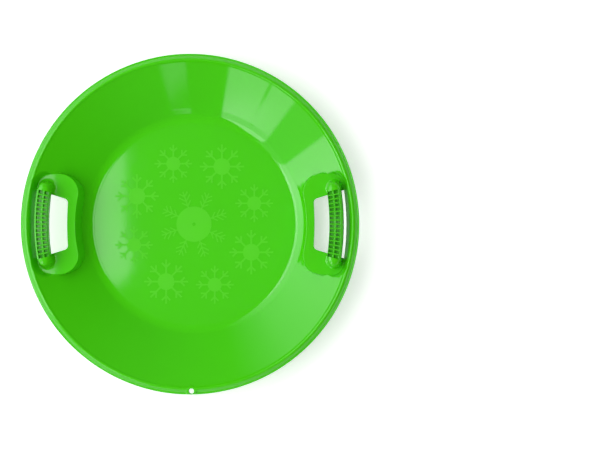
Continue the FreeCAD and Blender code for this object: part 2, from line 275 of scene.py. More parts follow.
def dish_corners():
    """Corners of the dish's upper face from its middle out, as radius and height."""
    across = WALL_TOP_RADIUS - FLOOR_RADIUS
    up = WALL_TOP_Z - SKIN - FLOOR_CORNER_RADIUS
    slope = math.atan2(up, across) + math.asin(FLOOR_CORNER_RADIUS / math.hypot(across, up))
    foot_z = WALL_TOP_Z - (WALL_TOP_RADIUS - WALL_FOOT_RADIUS) * math.tan(slope)
    return [
        (0, SKIN),
        (WALL_FOOT_RADIUS - (foot_z - SKIN) / math.tan(WALL_FOOT_SLOPE), SKIN),
        (WALL_FOOT_RADIUS, foot_z),
        (WALL_TOP_RADIUS, WALL_TOP_Z),
        (CREST_INNER_RADIUS, CREST_HEIGHT),
        (CREST_INNER_RADIUS + CREST_WIDTH, CREST_HEIGHT),
        (RIM_RADIUS - FLANGE_WIDTH, FLANGE_Z),
        (NOSE_START, FLANGE_Z),
    ]


def edge_profile(slope, edge_round):
    """The level shelf, and past its edge a slope, against the distance to the edge."""
    corners = [(-PROFILE_REACH, 0), (0, 0), (PROFILE_REACH, PROFILE_REACH * slope)]
    return both_faces(corners, [0, edge_round, 0])


def end_profile(inset, spread, top_round, foot_round):
    """The side of a grip end against the distance to its outline."""
    corners = [(-PROFILE_REACH, END_RISE), (-inset, END_RISE), (spread, 0), (PROFILE_REACH, 0)]
    return both_faces(corners, [0, top_round, foot_round, 0])


floor_corner_round = (dish_corners()[1][0] - FLOOR_RADIUS) / math.tan(WALL_FOOT_SLOPE / 2)
dish = both_faces(dish_corners(), [0, floor_corner_round, WALL_FOOT_ROUND, WALL_TOP_ROUND, CREST_INNER_ROUND,
                                   CREST_OUTER_ROUND, FLANGE_ROUND, 0])
raised = edge_profile(-INNER_FLANK_SLOPE, SHELF_EDGE_ROUND)
sunk = edge_profile(OUTER_WALL_SLOPE, SHELF_FOOT_ROUND)
end_side = end_profile(**END_SIDE)
end_tip = end_profile(**END_TIP)
end_palm = end_profile(**END_PALM)


def soft_max(a, b, width):
    """The larger height, with a smooth passage where the two lie closer than width."""
    share = np.maximum(width - np.abs(a - b), 0) / np.maximum(width, 1e-9)
    return np.maximum(a, b) + share * share * width / 4


def soft_min(a, b, width):
    return -soft_max(-a, -b, width)


def smooth_step(value):
    value = np.clip(value, 0, 1)
    return value * value * (3 - 2 * value)


def round_drop(distance, radius):
    """How far a rounded edge lies below its face at a distance in from the edge."""
    inward = np.clip(radius - distance, 0, radius)
    return radius - np.sqrt(np.maximum(radius ** 2 - inward ** 2, 0))


def kidney_distance(x, y):
    """Signed distance to the shelf's outline, negative on the shelf."""
    y = np.abs(y)
    lobe_y = KIDNEY_HALF_LENGTH - KIDNEY_LOBE
    corner_y = KIDNEY_HALF_LENGTH - KIDNEY_CORNER
    inner_x = KIDNEY_INNER_EDGE - KIDNEY_INNER_BEND
    lobe_far = math.sqrt((KIDNEY_INNER_BEND + KIDNEY_LOBE) ** 2 - lobe_y ** 2)
    corner_far = math.sqrt((KIDNEY_OUTER_BEND - KIDNEY_CORNER) ** 2 - corner_y ** 2)
    inner_turn = math.atan2(lobe_y, lobe_far)
    outer_turn = math.atan2(corner_y, corner_far)
    lobe_x = inner_x + lobe_far
    corner_x = GRIP_CENTRE_X + corner_far
    arcs = [
        (GRIP_CENTRE_X, 0, KIDNEY_OUTER_BEND, 0, outer_turn, 1),
        (corner_x, corner_y, KIDNEY_CORNER, outer_turn, math.pi / 2, 1),
        (lobe_x, lobe_y, KIDNEY_LOBE, math.pi / 2, math.pi + inner_turn, 1),
        (inner_x, 0, KIDNEY_INNER_BEND, 0, inner_turn, -1),
    ]
    best = np.full(x.shape, FAR_AWAY)
    for centre_x, centre_y, radius, start, end, side in arcs:
        turn = np.arctan2(y - centre_y, x - centre_x) % (2 * math.pi)
        distance = side * (np.hypot(x - centre_x, y - centre_y) - radius)
        beside = (turn >= start - ROUNDING) & (turn <= end + ROUNDING)
        best = np.where(beside & (np.abs(distance) < np.abs(best)), distance, best)
    distance = y - KIDNEY_HALF_LENGTH
    beside = (x >= lobe_x) & (x <= corner_x)
    return np.where(beside & (np.abs(distance) < np.abs(best)), distance, best)


def opening_distance(x, y):
    """Signed distance to the hand opening's edge, negative in the opening."""
    apex = GRIP_MIDDLE - GRIP_HALF - OPENING_HALF_LENGTH / math.tan(OPENING_END_ANGLE)
    outer = np.hypot(x - GRIP_CENTRE_X, y) - (KIDNEY_OUTER_BEND - SHELF_LEDGE)
    inner = OPENING_INNER_BEND - np.hypot(x - OPENING_INNER_EDGE + OPENING_INNER_BEND, y)
    end = np.abs(y) * math.cos(OPENING_END_ANGLE) - (x - apex) * math.sin(OPENING_END_ANGLE)
    corner = np.hypot(np.maximum(inner + OPENING_CORNER, 0), np.maximum(end + OPENING_CORNER, 0))
    rounded = np.minimum(-OPENING_CORNER, np.maximum(inner, end)) + corner
    return np.maximum(rounded, outer)


def grip_turn(angle, radius):
    """Where a ray from the saucer's axis meets a circle about the bend's centre, as a turn about that."""
    return angle - np.arcsin(-GRIP_CENTRE_X * np.sin(angle) / radius)


def grip_point(angle, across):
    """The place on a ray from the saucer's axis that lies some way across the grip's bend."""
    circle = GRIP_BEND + across
    about = grip_turn(angle, circle)
    return GRIP_CENTRE_X + circle * math.cos(about), circle * math.sin(about)


def grip_place(x, y):
    """How far a point lies across the grip's bend, and along it past the ribs."""
    across = np.hypot(x - GRIP_CENTRE_X, y) - GRIP_BEND
    turn = np.abs(np.arctan2(y, x - GRIP_CENTRE_X))
    return across, GRIP_BEND * (turn - grip_turn(GRIP_RAY, GRIP_BEND))


def end_distance(x, y):
    """Signed distance in plan to the outline of a grip end, whose tip is a half circle."""
    across, along = grip_place(x, y)
    return np.hypot(np.maximum(along - END_LENGTH + GRIP_HALF, 0), across) - GRIP_HALF


def end_cut_distance(x, y):
    """The same distance past the ribs, and nowhere near 0 beside them."""
    return np.where(grip_place(x, y)[1] > END_CUTS_START, end_distance(x, y), END_CUTS_NONE)


def grip_top(y):
    """The arched top of the grip."""
    half_length = GRIP_BEND * math.sin(grip_turn(GRIP_RAY, GRIP_BEND))
    radius = (half_length ** 2 + GRIP_ARCH_DROP ** 2) / (2 * GRIP_ARCH_DROP)
    return GRIP_TOP_Z - radius + np.sqrt(radius ** 2 - y ** 2)


def side_turn(x, y):
    """The turn about the saucer's axis away from the middle of the handle."""
    return np.arctan2(np.abs(y), x)


def end_height(x, y, depth):
    """The grip end over the shelf, cut off where the ribs begin."""
    across, along = grip_place(x, y)
    distance = end_distance(x, y)
    tip = smooth_step(along / END_SOFTENS)
    palm = smooth_step(-across / GRIP_HALF)
    soft = end_tip[depth].height(distance) * (1 - palm) + end_palm[depth].height(distance) * palm
    rise = end_side[depth].height(distance) * (1 - tip) + soft * tip
    stretch = (grip_top(y) - SHELF_Z) / END_RISE
    face = GRIP_RAY + depth / GRIP_MIDDLE
    gate = np.clip((side_turn(x, y) - face) / END_FACE_STEP + 1, 0, 1)
    return SHELF_Z - depth + (rise * stretch + depth) * gate


def hole_distance(x, y):
    """Distance to the middle of the tow hole."""
    return np.hypot(x - TOW_X, y - TOW_Y)


def tow_height(x, y, height, depth):
    """The boss around the tow hole, raised out of the rim."""
    hole = hole_distance(x, y)
    edge = round_drop(hole - TOW_HOLE, TOW_HOLE_ROUND)
    if depth:
        under = FLANGE_Z - SKIN + TOW_UNDER_SLOPE * np.maximum(hole - TOW_UNDER_FLAT, 0)
        return np.minimum(height, under) + edge
    boss = TOW_BOSS_TOP - TOW_BOSS_SLOPE * np.maximum(hole - TOW_BOSS_FLAT, 0)
    outer = TOW_BOSS_TOP - TOW_OUTER_SLOPE * np.maximum(np.hypot(x, y) - TOW_OUTER_RADIUS, 0)
    return soft_max(height, soft_min(boss, outer, TOW_OUTER_BLEND), TOW_BOSS_BLEND) - edge


def near_handle(x, y):
    """True where a handle surround may be."""
    return (np.abs(y) < HANDLE_HALF_WIDTH) & (np.abs(x) > HANDLE_START)


def handle_height(x, y, plain, depth):
    """The handle surround, with the shelf, its flank and wall, and the two grip ends, in the plain dish."""
    distance = kidney_distance(x, y)
    fade = np.clip(distance / BLEND_FADE, 0, 1)
    flank = SHELF_Z + raised[depth].height(distance)
    wall = SHELF_Z + sunk[depth].height(distance)
    handle = soft_min(soft_max(plain, flank, FOOT_BLEND * fade), wall, TOP_BLEND * fade)
    end = end_height(x, y, depth) - END_OUTSIDE_SLOPE * np.maximum(distance, 0)
    end = np.where(end_distance(x, y) < END_REACH, end, BELOW_ALL)
    handle = soft_max(handle, end, END_UNDER_BLEND if depth else END_BLEND)
    drop = round_drop(opening_distance(x, y), OPENING_EDGE_ROUND)
    return handle + drop if depth else handle - drop


def skin_height(x, y, depth):
    """Height of the saucer's upper or lower face."""
    radius = np.hypot(x, y)
    height = dish[depth].height(np.minimum(radius, NOSE_START))
    nose = np.sqrt(np.maximum(NOSE_ROUND ** 2 - np.maximum(radius - NOSE_START, 0) ** 2, 0))
    height = np.where(radius > NOSE_START, NOSE_Z + (-nose if depth else nose), height)
    near = near_handle(x, y) & (radius < HANDLE_END)
    if near.any():
        height[near] = handle_height(np.abs(x[near]), y[near], height[near], depth)
    near = hole_distance(x, y) < TOW_REACH
    if near.any():
        height[near] = tow_height(x[near], y[near], height[near], depth)
    return height


def upper_face(x, y):
    return skin_height(x, y, 0.0)


def lower_face(x, y):
    return skin_height(x, y, SKIN)


def zone_level(x, y):
    """Positive in the space that a handle surround takes out of the dish and rim."""
    x = np.abs(x)
    distance = kidney_distance(x, y)
    plain = dish[0.0].height(np.minimum(np.hypot(x, y), NOSE_START))
    flank = SHELF_Z - INNER_FLANK_SLOPE * np.maximum(distance, 0)
    wall = SHELF_Z + OUTER_WALL_SLOPE * np.maximum(distance, 0)
    return np.maximum(np.maximum(plain - wall, flank - plain), -ZONE_SHELF_SLOPE * distance)


def ring_middles(places, rings):
    """The middle of each ring's corners, all the corners in one row, and the ring of each corner there."""
    counts = np.array([len(ring) for ring in rings])
    corners = np.concatenate([np.array(ring) for ring in rings])
    owner = np.repeat(np.arange(len(rings)), counts)
    middles = np.zeros((len(rings), 2))
    np.add.at(middles, owner, places[corners])
    return middles / counts[:, None], corners, owner


class Net:
    """A flat net of polygons that share their corners, and that lines can cut."""

    def __init__(self):
        self.places = []
        self.found = {}
        self.cells = []

    def corner(self, x, y):
        key = (round(x, 5), round(y, 5))
        if key not in self.found:
            self.found[key] = len(self.places)
            self.places.append((x, y))
        return self.found[key]

    def add_sector(self, start, end, turns, radii, finer_start=None, finer_end=None):
        """Cells between rays and circles. A finer neighbour's circles are taken up on the ray it shares."""
        rays = np.linspace(start, end, turns + 1)
        for index in range(turns):
            for near, far in zip(radii, radii[1:]):
                low = [near, far]
                high = [near, far]
                if index == 0 and finer_start is not None:
                    low = [near] + [r for r in finer_start if near < r < far] + [far]
                if index == turns - 1 and finer_end is not None:
                    high = [near] + [r for r in finer_end if near < r < far] + [far]
                ring = [(r, rays[index]) for r in low] + [(r, rays[index + 1]) for r in reversed(high)]
                self.cells.append([self.corner(r * math.cos(a), r * math.sin(a)) for r, a in ring])

    def take(self, other, side=1):
        """Takes up another net's cells, turned half round about the axis where side is -1."""
        link = [self.corner(x * side, y * side) for x, y in other.places]
        for cell in other.cells:
            ring = [link[corner] for corner in cell]
            self.cells.append([corner for k, corner in enumerate(ring) if corner != ring[k - 1]])

    def cut(self, level, value=0.0):
        """Splits every cell that the line level = value crosses."""
        places = np.array(self.places)
        values = level(places[:, 0], places[:, 1]) - value
        values[np.abs(values) < ROUNDING] = 0
        crossed = {}
        hit = []
        for index, cell in enumerate(self.cells):
            signs = [values[i] for i in cell]
            if min(signs) < 0 < max(signs):
                hit.append(index)
                for a, b in zip(cell, cell[1:] + cell[:1]):
                    if values[a] * values[b] < 0:
                        crossed[(min(a, b), max(a, b))] = None
        if not hit:
            return
        pairs = np.array(list(crossed))
        low, high = places[pairs[:, 0]].copy(), places[pairs[:, 1]].copy()
        low_value, high_value = values[pairs[:, 0]].copy(), values[pairs[:, 1]].copy()
        for _ in range(CUT_STEPS):
            share = np.clip(low_value / (low_value - high_value), CUT_MARGIN, 1 - CUT_MARGIN)[:, None]
            middle = low + (high - low) * share
            middle_value = level(middle[:, 0], middle[:, 1]) - value
            same = middle_value * low_value > 0
            low[same], low_value[same] = middle[same], middle_value[same]
            high[~same], high_value[~same] = middle[~same], middle_value[~same]
        share = (low_value / (low_value - high_value + 1e-30))[:, None]
        middle = low + (high - low) * np.clip(share, 0, 1)
        for pair, place in zip(crossed, middle):
            crossed[pair] = self.corner(*place)
        on_line = set(crossed.values()) | set(np.flatnonzero(values == 0).tolist())
        fresh = []
        for index in hit:
            cell = self.cells[index]
            ring = []
            for a, b in zip(cell, cell[1:] + cell[:1]):
                ring.append(a)
                pair = (min(a, b), max(a, b))
                if values[a] * values[b] < 0 and crossed[pair] not in (a, b):
                    ring.append(crossed[pair])
            stops = [k for k, corner in enumerate(ring) if corner in on_line]
            if len(stops) == 2 and 1 < stops[1] - stops[0] < len(ring) - 1:
                fresh.append((index, ring[stops[0]:stops[1] + 1], ring[stops[1]:] + ring[:stops[0] + 1]))
            else:
                fresh.append((index, ring, None))
        for index, first, second in fresh:
            self.cells[index] = first
            if second:
                self.cells.append(second)

    def cut_all(self, level, values):
        for value in values:
            self.cut(level, value)


def new_piece(name, points, faces):
    """An object with a smooth mesh."""
    mesh = bpy.data.meshes.new(name)
    mesh.from_pydata((np.array(points) * MM).tolist(), [], faces)
    mesh.polygons.foreach_set("use_smooth", [True] * len(mesh.polygons))
    mesh.update()
    piece = bpy.data.objects.new(name, mesh)
    bpy.context.scene.collection.objects.link(piece)
    return piece


def slope_normals(height, x, y):
    """Normals of a height's surface."""
    across = (height(x + NORMAL_STEP, y) - height(x - NORMAL_STEP, y)) / (2 * NORMAL_STEP)
    along = (height(x, y + NORMAL_STEP) - height(x, y - NORMAL_STEP)) / (2 * NORMAL_STEP)
    normal = np.stack([-across, -along, np.ones_like(x)], 1)
    return normal / np.linalg.norm(normal, axis=1)[:, None]


def face_normal(ring):
    normal = np.cross(ring, np.roll(ring, -1, axis=0)).sum(0)
    return normal / max(np.linalg.norm(normal), 1e-12)


def side_faces(rings, below):
    """Faces down from the open edges of some rings. Where top and bottom are joined, an edge has none."""
    edges = {edge: True for ring in rings for edge in zip(ring, ring[1:] + ring[:1])}
    faces = []
    for a, b in edges:
        if (b, a) in edges:
            continue
        side = [int(below[a]), int(below[b]), b, a]
        clean = [corner for k, corner in enumerate(side) if corner != side[k - 1]]
        if len(clean) > 2:
            faces.append(clean)
    return faces


def shell(name, places, cells, upper, lower):
    """A closed piece between an upper and a lower height over some cells of a net."""
    used = sorted({corner for cell in cells for corner in cell})
    order = {corner: index for index, corner in enumerate(used)}
    plan = np.array([places[corner] for corner in used])
    top = upper(plan[:, 0], plan[:, 1])
    low = lower(plan[:, 0], plan[:, 1])
    joined = top - low < JOINED_GAP
    top = np.where(joined, (top + low) / 2, top)
    count = len(used)
    below = np.where(joined, np.arange(count), count + np.cumsum(~joined) - 1)
    points = np.vstack([np.column_stack([plan, top]), np.column_stack([plan, low])[~joined]])
    upper_rings = [[order[corner] for corner in cell] for cell in cells]
    lower_rings = [[int(below[corner]) for corner in reversed(ring)] for ring in upper_rings]
    side_rings = side_faces(upper_rings, below)
    normals = []
    for rings, height, sign in ((upper_rings, upper, 1), (lower_rings, lower, -1)):
        middles, corners, owner = ring_middles(points[:, :2], rings)
        spots = points[corners][:, :2]
        pulled = spots + (middles[owner] - spots) * NORMAL_PULL
        normals.append(slope_normals(height, pulled[:, 0], pulled[:, 1]) * sign)
    for ring in side_rings:
        normals.append(np.tile(face_normal(points[ring]), (len(ring), 1)))
    piece = new_piece(name, points, upper_rings + lower_rings + side_rings)
    piece.data.normals_split_custom_set(np.vstack(normals).tolist())
    return piece


def net_lines(extra):
    """Radii of the net's circles from the floor's edge to the rim's nose."""
    fixed = [FLOOR_RADIUS, RIM_SPLIT_RADIUS, TOW_TRIM]
    found = fixed + dish[0.0].stations(ARC_STEP) + dish[SKIN].stations(UNDER_ARC_STEP) + list(extra)
    found += [NOSE_START + NOSE_ROUND * math.sin(math.radians(turn)) for turn in NOSE_TURNS]
    fixed.append(NOSE_START)
    lines = []
    for radius in sorted(r for r in found if FLOOR_RADIUS <= r <= RIM_RADIUS - LAST_LINE_GAP):
        if not lines or radius - lines[-1] > (NOSE_LINE_GAP if radius > NOSE_START else LINE_GAP):
            lines.append(radius)
        elif radius in fixed and lines[-1] not in fixed:
            lines[-1] = radius
    return lines + [RIM_RADIUS]


def handle_net(lines):
    """The net around the right handle."""
    net = Net()
    net.add_sector(-HANDLE_SECTOR, HANDLE_SECTOR, HANDLE_RAYS, lines)
    net.cut_all(side_turn, (GRIP_RAY - END_FACE_STEP, GRIP_RAY))
    net.cut_all(kidney_distance, KIDNEY_CUTS)
    net.cut_all(zone_level, ZONE_CUTS)
    net.cut_all(opening_distance, OPENING_CUTS)
    net.cut_all(end_cut_distance, END_CUTS)
    return net


def saucer_net():
    """The net of the saucer's wall and rim, cut along the lines where its surface turns."""
    coarse = net_lines([])
    added = [r for r in net_lines(HANDLE_RADII) if min(abs(r - c) for c in coarse) > HANDLE_LINE_GAP]
    fine = sorted(set(coarse) | set(added))
    handle = handle_net(fine)
    tow = Net()
    tow.add_sector(TOW_TURN - TOW_SECTOR, TOW_TURN + TOW_SECTOR, TOW_RAYS, coarse)
    tow.cut_all(hole_distance, TOW_CUTS)
    whole = Net()
    whole.take(handle)
    whole.take(handle, -1)
    whole.take(tow)
    whole.add_sector(HANDLE_SECTOR, math.pi - HANDLE_SECTOR, BACK_RAYS, coarse, fine, fine)
    whole.add_sector(math.pi + HANDLE_SECTOR, 2 * math.pi + TOW_TURN - TOW_SECTOR, FRONT_RAYS, coarse, fine)
    whole.add_sector(TOW_TURN + TOW_SECTOR, -HANDLE_SECTOR, FRONT_RAYS, coarse, None, fine)
    return whole


def floor_net(whole):
    """The floor's net, whose edge takes up every corner of the wall's net on that circle."""
    on_edge = [place for place in whole.places if abs(math.hypot(*place) - FLOOR_RADIUS) < SAME_PLACE]
    turns = sorted({round(math.atan2(y, x), 7) for x, y in on_edge})
    edge = []
    for turn in turns:
        edge_x, edge_y = FLOOR_RADIUS * math.cos(turn), FLOOR_RADIUS * math.sin(turn)
        edge.append(min((x, y) for x, y in on_edge
                        if abs(x - edge_x) < SAME_PLACE and abs(y - edge_y) < SAME_PLACE))
    loops = [[(r * math.cos(turn), r * math.sin(turn)) for turn in turns] for r in FLOOR_RINGS] + [edge]
    net = Net()
    for inner, outer in zip(loops, loops[1:]):
        for k in range(len(turns)):
            following = (k + 1) % len(turns)
            ring = [inner[k], outer[k], outer[following], inner[following]]
            net.cells.append([net.corner(*place) for place in ring])
    net.cells.append([net.corner(*place) for place in loops[0]])
    return net


def saucer_pieces():
    """The pieces of the saucer's skin, by the node that each replaces."""
    net = saucer_net()
    middles = ring_middles(np.array(net.places), net.cells)[0]
    x, y = middles[:, 0], middles[:, 1]
    radius = np.hypot(x, y)
    hole = hole_distance(x, y)
    zone = near_handle(x, y) & (zone_level(x, y) > 0)
    surround = zone & (opening_distance(np.abs(x), y) >= 0)
    boss = (hole < TOW_BOSS) & (radius < TOW_TRIM)
    groups = {
        "dish_wall": ~zone & (radius < RIM_SPLIT_RADIUS),
        "rim": ~zone & ~boss & (radius > RIM_SPLIT_RADIUS),
        "tow_hole_boss": boss & (hole > TOW_HOLE),
        "right_handle_surround": surround & (x > 0),
        "left_handle_surround": surround & (x < 0),
    }
    made = {}
    for node, mask in groups.items():
        cells = [net.cells[index] for index in np.flatnonzero(mask)]
        made[node] = shell(node + "_skin", net.places, cells, upper_face, lower_face)
    floor = floor_net(net)
    made["dish_floor"] = shell("dish_floor_skin", floor.places, floor.cells, upper_face, lower_face)
    return made


def quarter_round(radius, last_turn):
    """Points of a rounded edge, each as how far it lies in from the side and how far below the top."""
    turns = [last_turn * k / TROUGH_ROUND_STEPS for k in range(TROUGH_ROUND_STEPS + 1)]
    return [(radius * (1 - math.sin(turn)), radius * (1 - math.cos(turn))) for turn in turns]


def trough_section():
    """The outline across the grip. A height counts down from the arched top or up from the ground."""
    inner, outer = TROUGH_INNER, TROUGH_OUTER
    edge = GRIP_HALF - SIDE_LEAN
    top_round = quarter_round(GRIP_TOP_ROUND, TROUGH_TOP_TURN)
    under_round = [(inward, GRIP_UNDER_Z + rise)
                   for rise, inward in quarter_round(GRIP_UNDER_ROUND, math.pi / 2)]
    outer_drop = round_drop(edge - outer - RAIL_LIP, GRIP_TOP_ROUND)
    inner_drop = round_drop(edge + inner - RAIL_LIP, GRIP_TOP_ROUND) * INNER_DROP_SHARE
    section = [
        (outer, "down", TROUGH_DEPTH),
        (outer, "down", outer_drop + RAIL_LIP),
        (outer + RAIL_LIP * 0.3, "down", outer_drop + RAIL_LIP * 0.3),
        (outer + RAIL_LIP, "down", outer_drop),
    ]
    section += [(edge - inward, "down", drop) for inward, drop in top_round
                if edge - inward > outer + RAIL_LIP]
    section.append((GRIP_HALF - SIDE_TUCK, "up", GRIP_SIDE_Z))
    section += [(GRIP_HALF - inward, "up", height) for inward, height in under_round]
    section.append((0.0, "up", GRIP_UNDER_Z))
    section += [(inward - GRIP_HALF, "up", height) for inward, height in reversed(under_round)]
    section.append((SIDE_TUCK - GRIP_HALF, "up", GRIP_SIDE_Z))
    section += [(inward - edge, "down", drop) for inward, drop in reversed(top_round)
                if inward - edge < inner - RAIL_LIP * 0.8]
    section += [
        (inner - RAIL_LIP * 0.6, "down", inner_drop),
        (inner - RAIL_LIP * 0.2, "down", inner_drop + RAIL_LIP * 0.3),
        (inner, "down", inner_drop + RAIL_LIP),
        (inner, "down", TROUGH_DEPTH),
        (SPINE_MIDDLE, "down", TROUGH_DEPTH),
    ]
    return section


def grip_trough(name, side):
    """The grip's bar: two rails, a floor between them and a rounded underside."""
    section = trough_section()
    points = []
    for turn in np.linspace(-GRIP_RAY, GRIP_RAY, TROUGH_SECTIONS):
        for across, way, value in section:
            x, y = grip_point(turn, across)
            z = grip_top(y) - value if way == "down" else value
            points.append((x * side, y * side, z))
    width = len(section)
    faces = []
    for row in range(TROUGH_SECTIONS - 1):
        for k in range(width):
            a, b = row * width + k, row * width + (k + 1) % width
            faces.append([a, a + width, b + width, b])
    faces.append(list(range(width)))
    faces.append([len(points) - 1 - k for k in range(width)])
    piece = new_piece(name, points, faces)
    piece.data.set_sharp_from_angle(angle=TROUGH_SHARP_ANGLE)
    return piece


def strip_lines(half, insets):
    """Offsets from a strip's middle of the lines at some distances in from its two edges."""
    return sorted({side * (half - inset) for inset in insets for side in (-1, 1)})


def grip_lattice(name, side):
    """The spine and the radial ribs in the trough."""
    turns = [-GRIP_RAY]
    for index in range(RIB_COUNT):
        middle = (index + 1) * RIB_PITCH - GRIP_RAY
        turns += [middle + offset / GRIP_MIDDLE for offset in strip_lines(RIB_HALF, RIB_LINE_INSETS)]
    turns.append(GRIP_RAY)
    lines = [TROUGH_INNER + inset for inset in TROUGH_LINE_INSETS]
    lines += [SPINE_MIDDLE + offset for offset in strip_lines(SPINE_HALF, SPINE_LINE_INSETS)]
    lines += [TROUGH_OUTER - inset for inset in reversed(TROUGH_LINE_INSETS)]
    net = Net()
    grid = {}
    for i, turn in enumerate(turns):
        for j, across in enumerate(lines):
            x, y = grip_point(turn, across)
            grid[i, j] = net.corner(x * side, y * side)
    for i in range(len(turns) - 1):
        middle = (turns[i] + turns[i + 1]) / 2
        nearest = round((middle + GRIP_RAY) / RIB_PITCH) * RIB_PITCH - GRIP_RAY
        past_ends = abs(nearest) > GRIP_RAY - RIB_PITCH / 2
        on_rib = abs(middle - nearest) * GRIP_MIDDLE < RIB_HALF and not past_ends
        for j in range(len(lines) - 1):
            on_spine = abs((lines[j] + lines[j + 1]) / 2 - SPINE_MIDDLE) < SPINE_HALF
            if on_rib or on_spine:
                net.cells.append([grid[i, j], grid[i, j + 1], grid[i + 1, j + 1], grid[i + 1, j]])

    def rise(x, y):
        x, y = x * side, y * side
        turn = np.arctan2(y, x)
        nearest = np.clip(np.round((turn + GRIP_RAY) / RIB_PITCH), 1, RIB_COUNT) * RIB_PITCH - GRIP_RAY
        on_rib = RIB_HALF - np.abs(turn - nearest) * GRIP_MIDDLE
        across = np.hypot(x - GRIP_CENTRE_X, y) - GRIP_BEND
        on_spine = SPINE_HALF - np.abs(across - SPINE_MIDDLE)
        rib = -round_drop(on_rib, RIB_CROWN) - LATTICE_SIDE_SLOPE * np.maximum(-on_rib, 0)
        spine = -round_drop(on_spine, SPINE_CROWN) - LATTICE_SIDE_SLOPE * np.maximum(-on_spine, 0)
        crown = np.maximum(rib, spine - SPINE_DROP)
        return grip_top(y) - LATTICE_DROP + np.maximum(crown, LATTICE_DROP - TROUGH_DEPTH + LATTICE_LEAST)

    def base(x, y):
        return grip_top(y * side) - TROUGH_DEPTH

    return shell(name, net.places, net.cells, rise, base)


def set_inputs(tree, node, inputs):
    """Gives inputs their numbers and colours, and links those that are given a socket."""
    for name, item in inputs.items():
        if isinstance(item, bpy.types.NodeSocket):
            tree.links.new(item, node.inputs[name])
        else:
            node.inputs[name].default_value = item


def add_node(tree, kind, inputs=None, **settings):
    node = tree.nodes.new("ShaderNode" + kind)
    for name, setting in settings.items():
        setattr(node, name, setting)
    set_inputs(tree, node, inputs or {})
    return node


# The plastic: a broad flow in its colour, a fine grain in its gloss and surface, and a change of gloss at the
# floor's edge. The grain's height and the widths are metres.
FLOW = {"Scale": 9.0, "Detail": 3.0}
FLOW_SHARE = 0.03
GRAIN = {"Scale": 60.0, "Detail": 4.0}
GRAIN_RANGE = (0.3, 0.7)
GRAIN_GLOSS_SHARE = 0.15
GRAIN_HEIGHT = 0.0004
FLOOR_EDGE_RANGE = (FLOOR_RADIUS * MM - 0.001, FLOOR_RADIUS * MM + 0.004)
PLASTIC_IOR = 1.5


def floor_share(tree, place, share):
    """The share on the flat floor, and 1 everywhere else."""
    flat = add_node(tree, "VectorMath", {0: place, 1: (1, 1, 0)}, operation="MULTIPLY")
    radius = add_node(tree, "VectorMath", {0: flat.outputs[0]}, operation="LENGTH")
    return add_node(tree, "MapRange", {
        "Value": radius.outputs["Value"], "From Min": FLOOR_EDGE_RANGE[0], "From Max": FLOOR_EDGE_RANGE[1],
        "To Min": share, "To Max": 1.0}).outputs["Result"]


def plastic(name, colour, rough, grain, floor_rough=None, specular=0.5):
    """Moulded plastic, whose flat floor may be rougher."""
    material = bpy.data.materials.new(name)
    material.use_nodes = True
    tree = material.node_tree
    place = add_node(tree, "TexCoord").outputs["Object"]
    flow = add_node(tree, "TexNoise", {"Vector": place, **FLOW})
    dark = tuple(c * (1 - FLOW_SHARE) for c in colour) + (1,)
    light = tuple(min(1, c * (1 + FLOW_SHARE)) for c in colour) + (1,)
    mixed = add_node(tree, "MixRGB", {0: flow.outputs["Fac"], 1: dark, 2: light})
    fine = add_node(tree, "TexNoise", {"Vector": place, **GRAIN})
    roughness = add_node(tree, "MapRange", {
        "Value": fine.outputs["Fac"], "From Min": GRAIN_RANGE[0], "From Max": GRAIN_RANGE[1],
        "To Min": rough * (1 - GRAIN_GLOSS_SHARE),
        "To Max": rough * (1 + GRAIN_GLOSS_SHARE)}).outputs["Result"]
    if floor_rough:
        share = floor_share(tree, place, floor_rough / rough)
        roughness = add_node(tree, "Math", {0: roughness, 1: share}, operation="MULTIPLY").outputs[0]
    bump = add_node(tree, "Bump", {
        "Strength": grain, "Distance": GRAIN_HEIGHT, "Height": fine.outputs["Fac"]})
    set_inputs(tree, tree.nodes["Principled BSDF"], {
        "Base Color": mixed.outputs[0], "Roughness": roughness, "IOR": PLASTIC_IOR,
        "Specular IOR Level": specular, "Normal": bump.outputs["Normal"]})
    return material


moulding = plastic("gloss_green", (0.066, 0.62, 0.004), rough=0.05, grain=0.008, floor_rough=0.08)
grip_green = plastic("grip_green", (0.06, 0.56, 0.006), rough=0.14, grain=0.03)
frost_green = plastic("frosted_green", (0.082, 0.655, 0.006), rough=0.45, grain=0.15, specular=0.2)

# The camera, worked out from the photograph: its distance and lean from the rim's middle, and where that lies
# across the picture
PHOTO_WIDTH_PX = 600
RIM_MIDDLE_PX = 188.7
FOCAL_PX = 2890.0
SENSOR_WIDTH = 36.0
CAMERA_RIM_Z = 82.0
CAMERA_DISTANCE = 5085.0
CAMERA_LEAN = math.asin(0.1178)
CAMERA_AIM_Y = -1.5
CAMERA_SIGHT = 100


